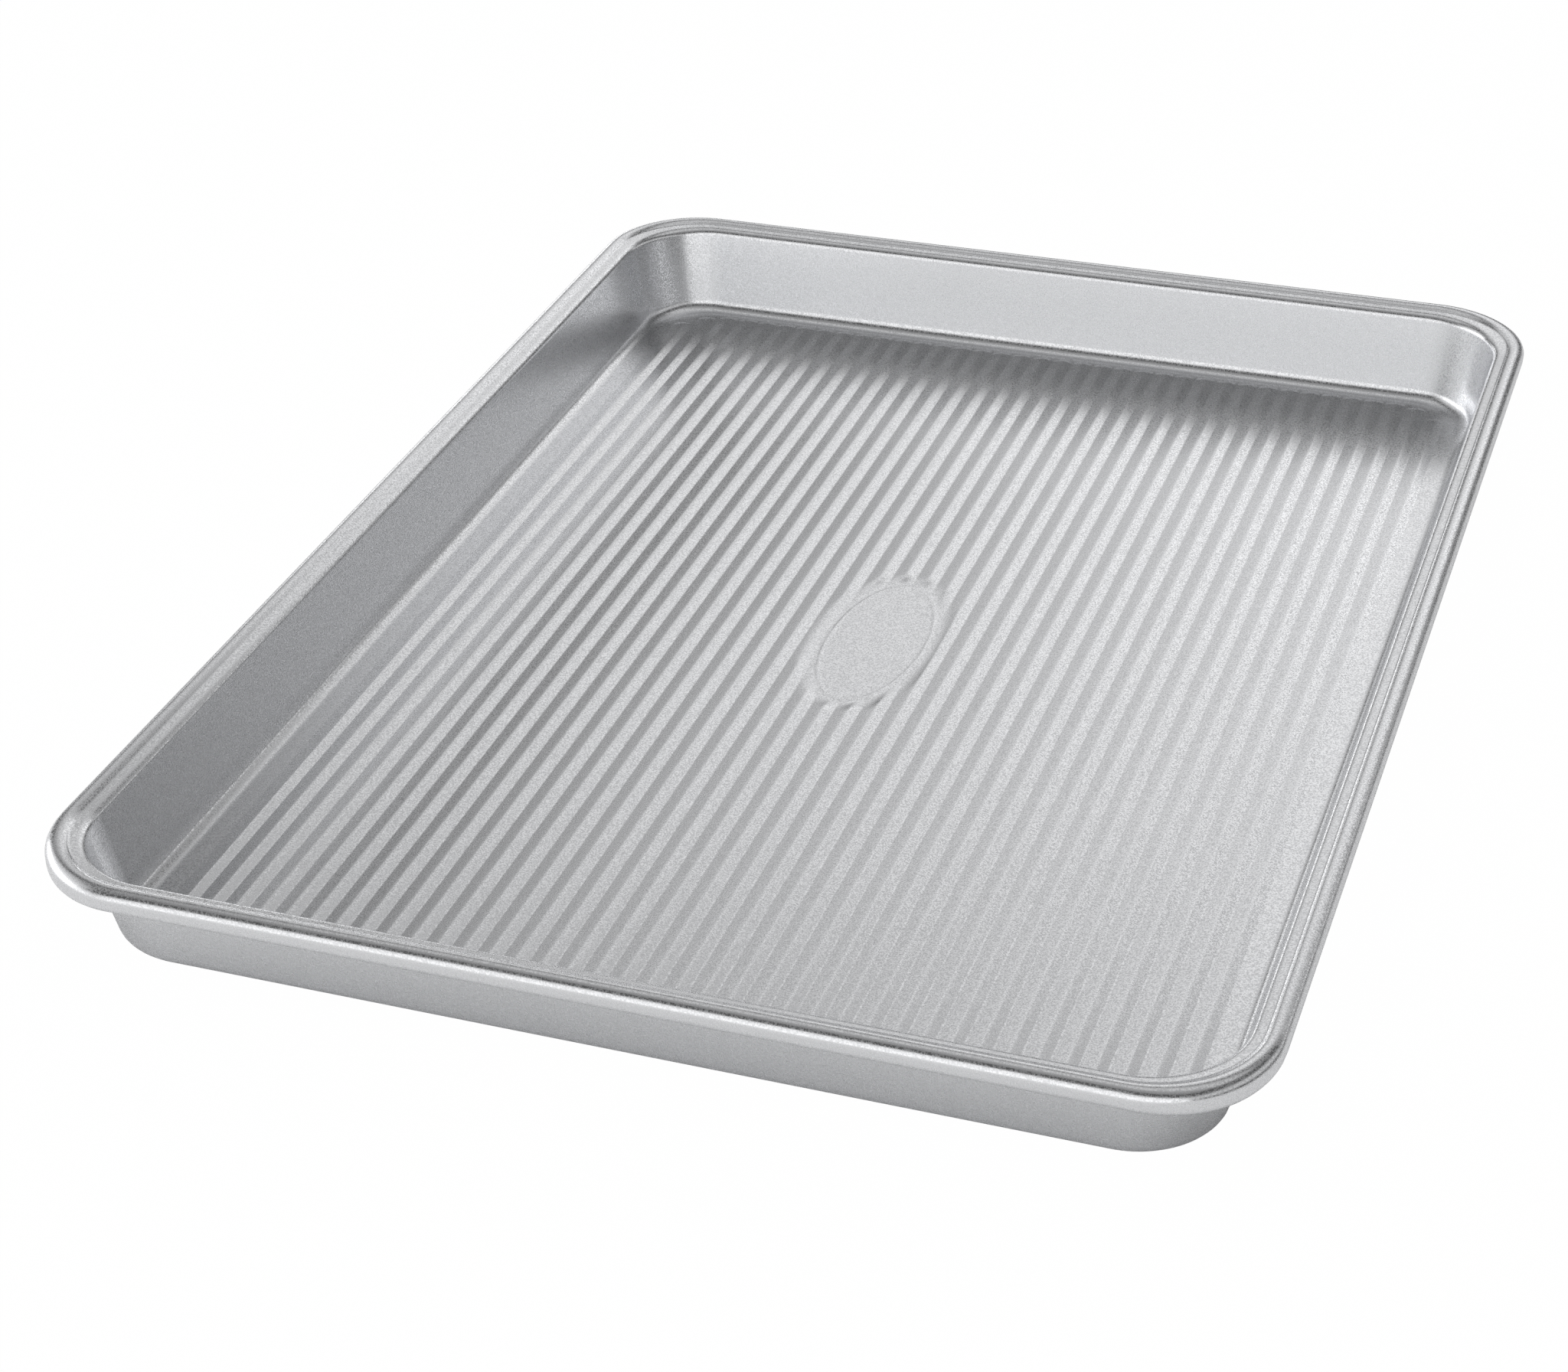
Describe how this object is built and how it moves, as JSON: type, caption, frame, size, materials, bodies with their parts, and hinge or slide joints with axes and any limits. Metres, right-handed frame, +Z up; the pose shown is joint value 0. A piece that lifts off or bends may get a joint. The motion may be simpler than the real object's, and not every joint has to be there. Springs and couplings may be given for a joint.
{
  "type": "sheet pan",
  "caption": "Shallow rectangular baking pan pressed from coated steel sheet, with a ribbed floor, sloping walls and a rolled rim closed around a stiffening wire.",
  "frame": {"origin": "centre of the flat underside, on the surface that the pan stands on", "axes": "+Z up out of the open top, +Y along the pan's length and its ribs, +X across its width"},
  "size_m": [0.33, 0.461, 0.0316],
  "materials": {
    "coated_sheet": "satin metal-coated steel sheet with a fine speckled grain",
    "rim_wire": "plain drawn steel wire"
  },
  "bodies": {
    "root": {"pan_body": "coated_sheet", "rim_wire": "rim_wire"}
  },
  "joints": []
}
